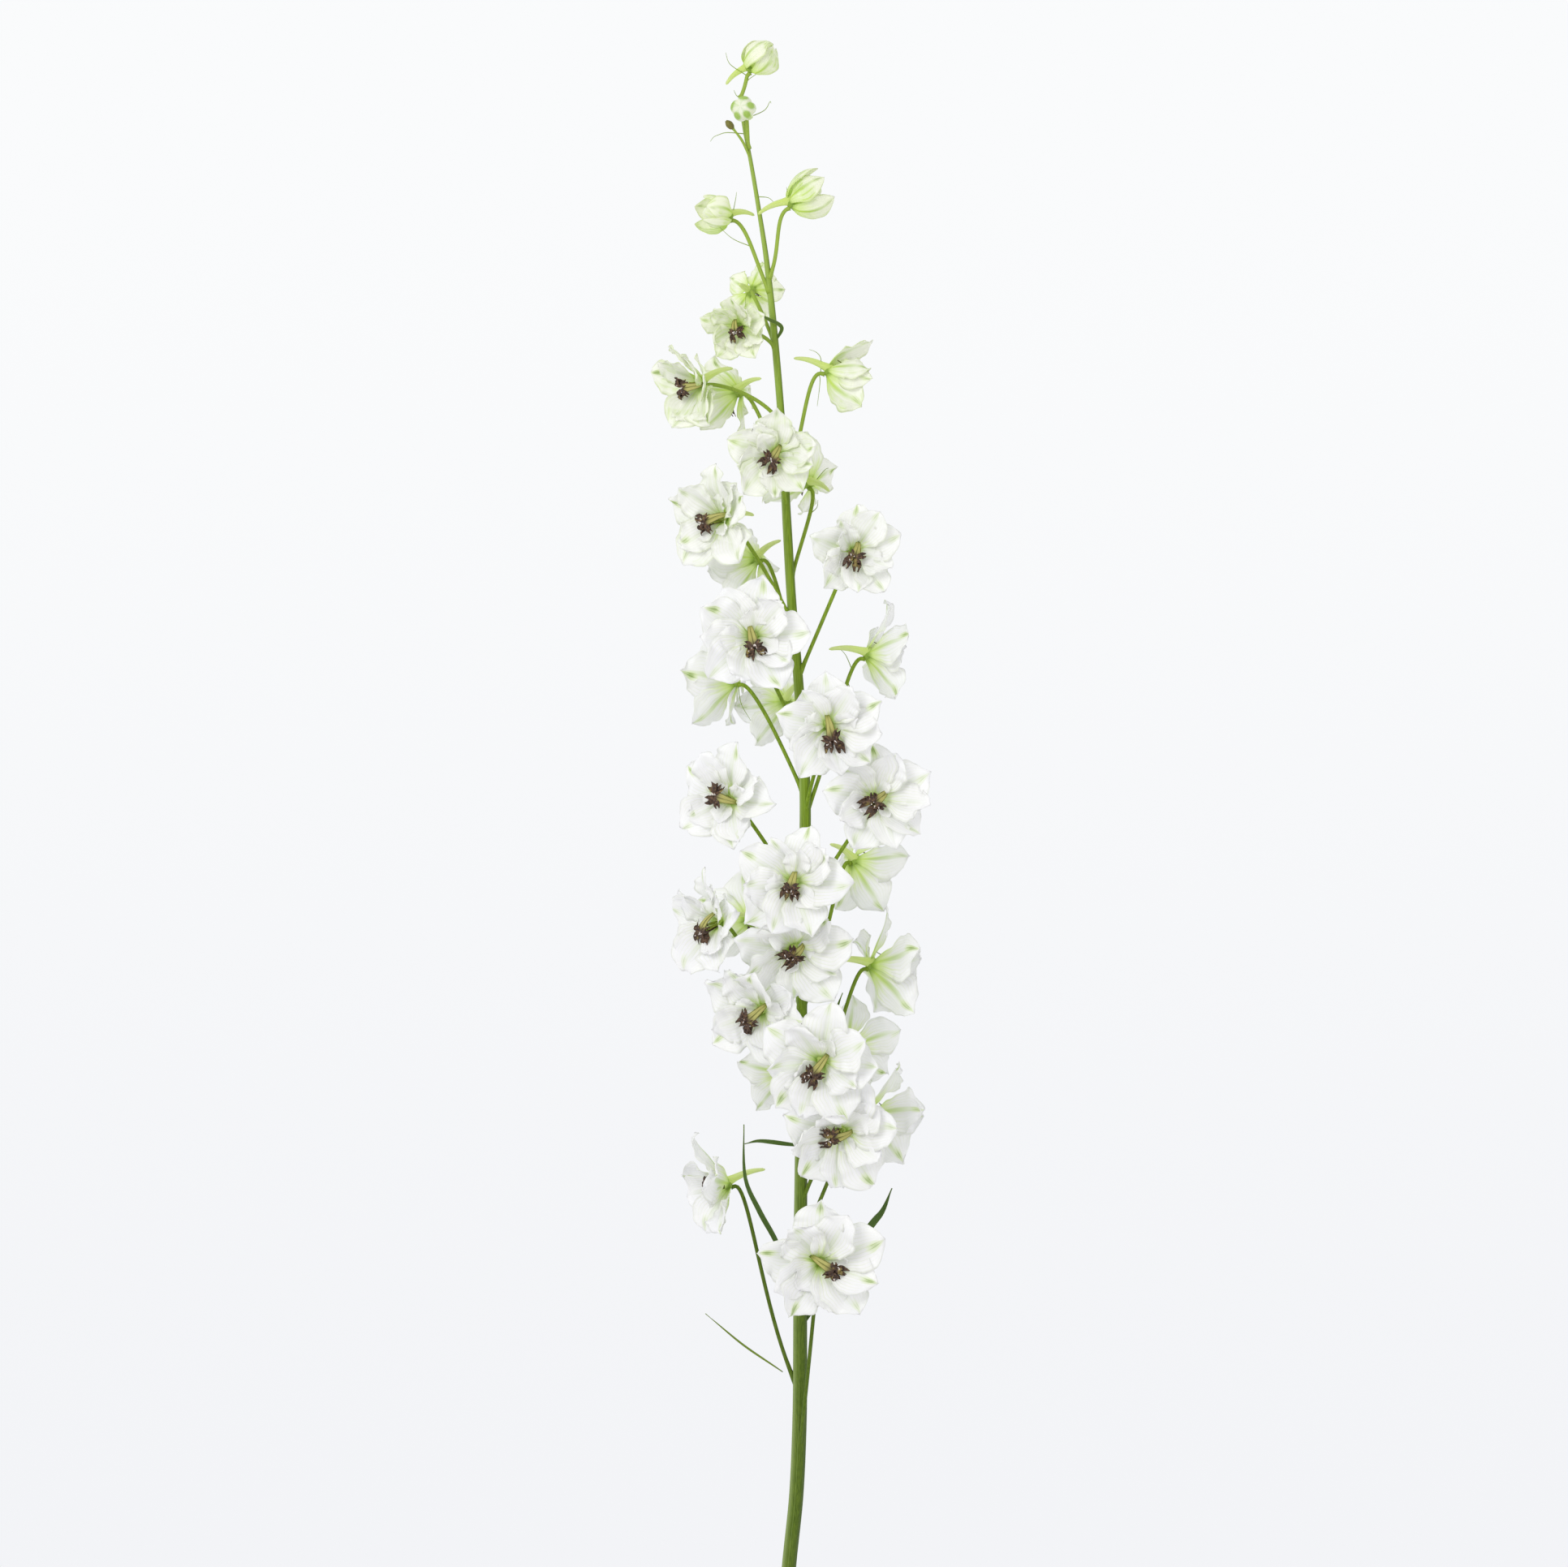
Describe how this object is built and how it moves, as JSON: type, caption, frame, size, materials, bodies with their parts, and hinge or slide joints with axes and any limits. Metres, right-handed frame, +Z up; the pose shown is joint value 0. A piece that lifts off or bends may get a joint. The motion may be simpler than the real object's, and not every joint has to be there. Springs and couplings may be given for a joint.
{
  "type": "delphinium flower spike",
  "caption": "Cut white delphinium spike lying on its side: slender green stem, spurred semi-double blooms with dark brown hearts, and pale green buds towards the tip.",
  "frame": {"origin": "centre of the bounding box's underside, on the surface that the spike lies on", "axes": "+Y along the stem towards the spike's tip, +Z up from the surface, +X across the spike, to the right when it is seen from above with its tip away"},
  "size_m": [0.1389, 0.8004, 0.0991],
  "materials": {
    "leaf_green": "fresh green stem, faintly ridged, soft satin sheen",
    "bud_green": "pale yellow-green closed petals, downy and matte",
    "petal_white": "thin translucent white petal, matte, with pale green veins at the throat",
    "heart_brown": "crumpled dark brown inner petals, matte, with pale tufts"
  },
  "bodies": {
    "root": {"stem": "leaf_green", "bud_01": "bud_green", "bud_02": "bud_green", "bud_04": "bud_green", "bud_05": "bud_green", "bloom_06": "petal_white", "bloom_07": "petal_white", "bloom_08": "petal_white", "bloom_09": "petal_white", "bloom_10": "petal_white", "bloom_11": "petal_white", "bloom_12": "petal_white", "bloom_13": "petal_white", "bloom_14": "petal_white", "bloom_15": "petal_white", "bloom_16": "petal_white", "bloom_17": "petal_white", "bloom_18": "petal_white", "bloom_19": "petal_white", "bloom_20": "petal_white", "bloom_21": "petal_white", "bloom_22": "petal_white", "bloom_23": "petal_white", "bloom_24": "petal_white", "bloom_25": "petal_white", "bloom_26": "petal_white", "bloom_27": "petal_white", "bloom_28": "petal_white", "bloom_29": "petal_white", "bloom_30": "petal_white", "bloom_31": "petal_white", "bloom_32": "petal_white", "bloom_33": "petal_white", "bloom_34": "petal_white", "bloom_35": "petal_white", "bloom_36": "petal_white", "bloom_07_heart": "heart_brown", "bloom_08_heart": "heart_brown", "bloom_09_heart": "heart_brown", "bloom_11_heart": "heart_brown", "bloom_13_heart": "heart_brown", "bloom_14_heart": "heart_brown", "bloom_15_heart": "heart_brown", "bloom_16_heart": "heart_brown", "bloom_17_heart": "heart_brown", "bloom_20_heart": "heart_brown", "bloom_21_heart": "heart_brown", "bloom_22_heart": "heart_brown", "bloom_23_heart": "heart_brown", "bloom_24_heart": "heart_brown", "bloom_25_heart": "heart_brown", "bloom_27_heart": "heart_brown", "bloom_28_heart": "heart_brown", "bloom_29_heart": "heart_brown", "bloom_31_heart": "heart_brown", "bloom_32_heart": "heart_brown", "bloom_34_heart": "heart_brown", "bloom_35_heart": "heart_brown", "bloom_36_heart": "heart_brown"}
  },
  "joints": []
}
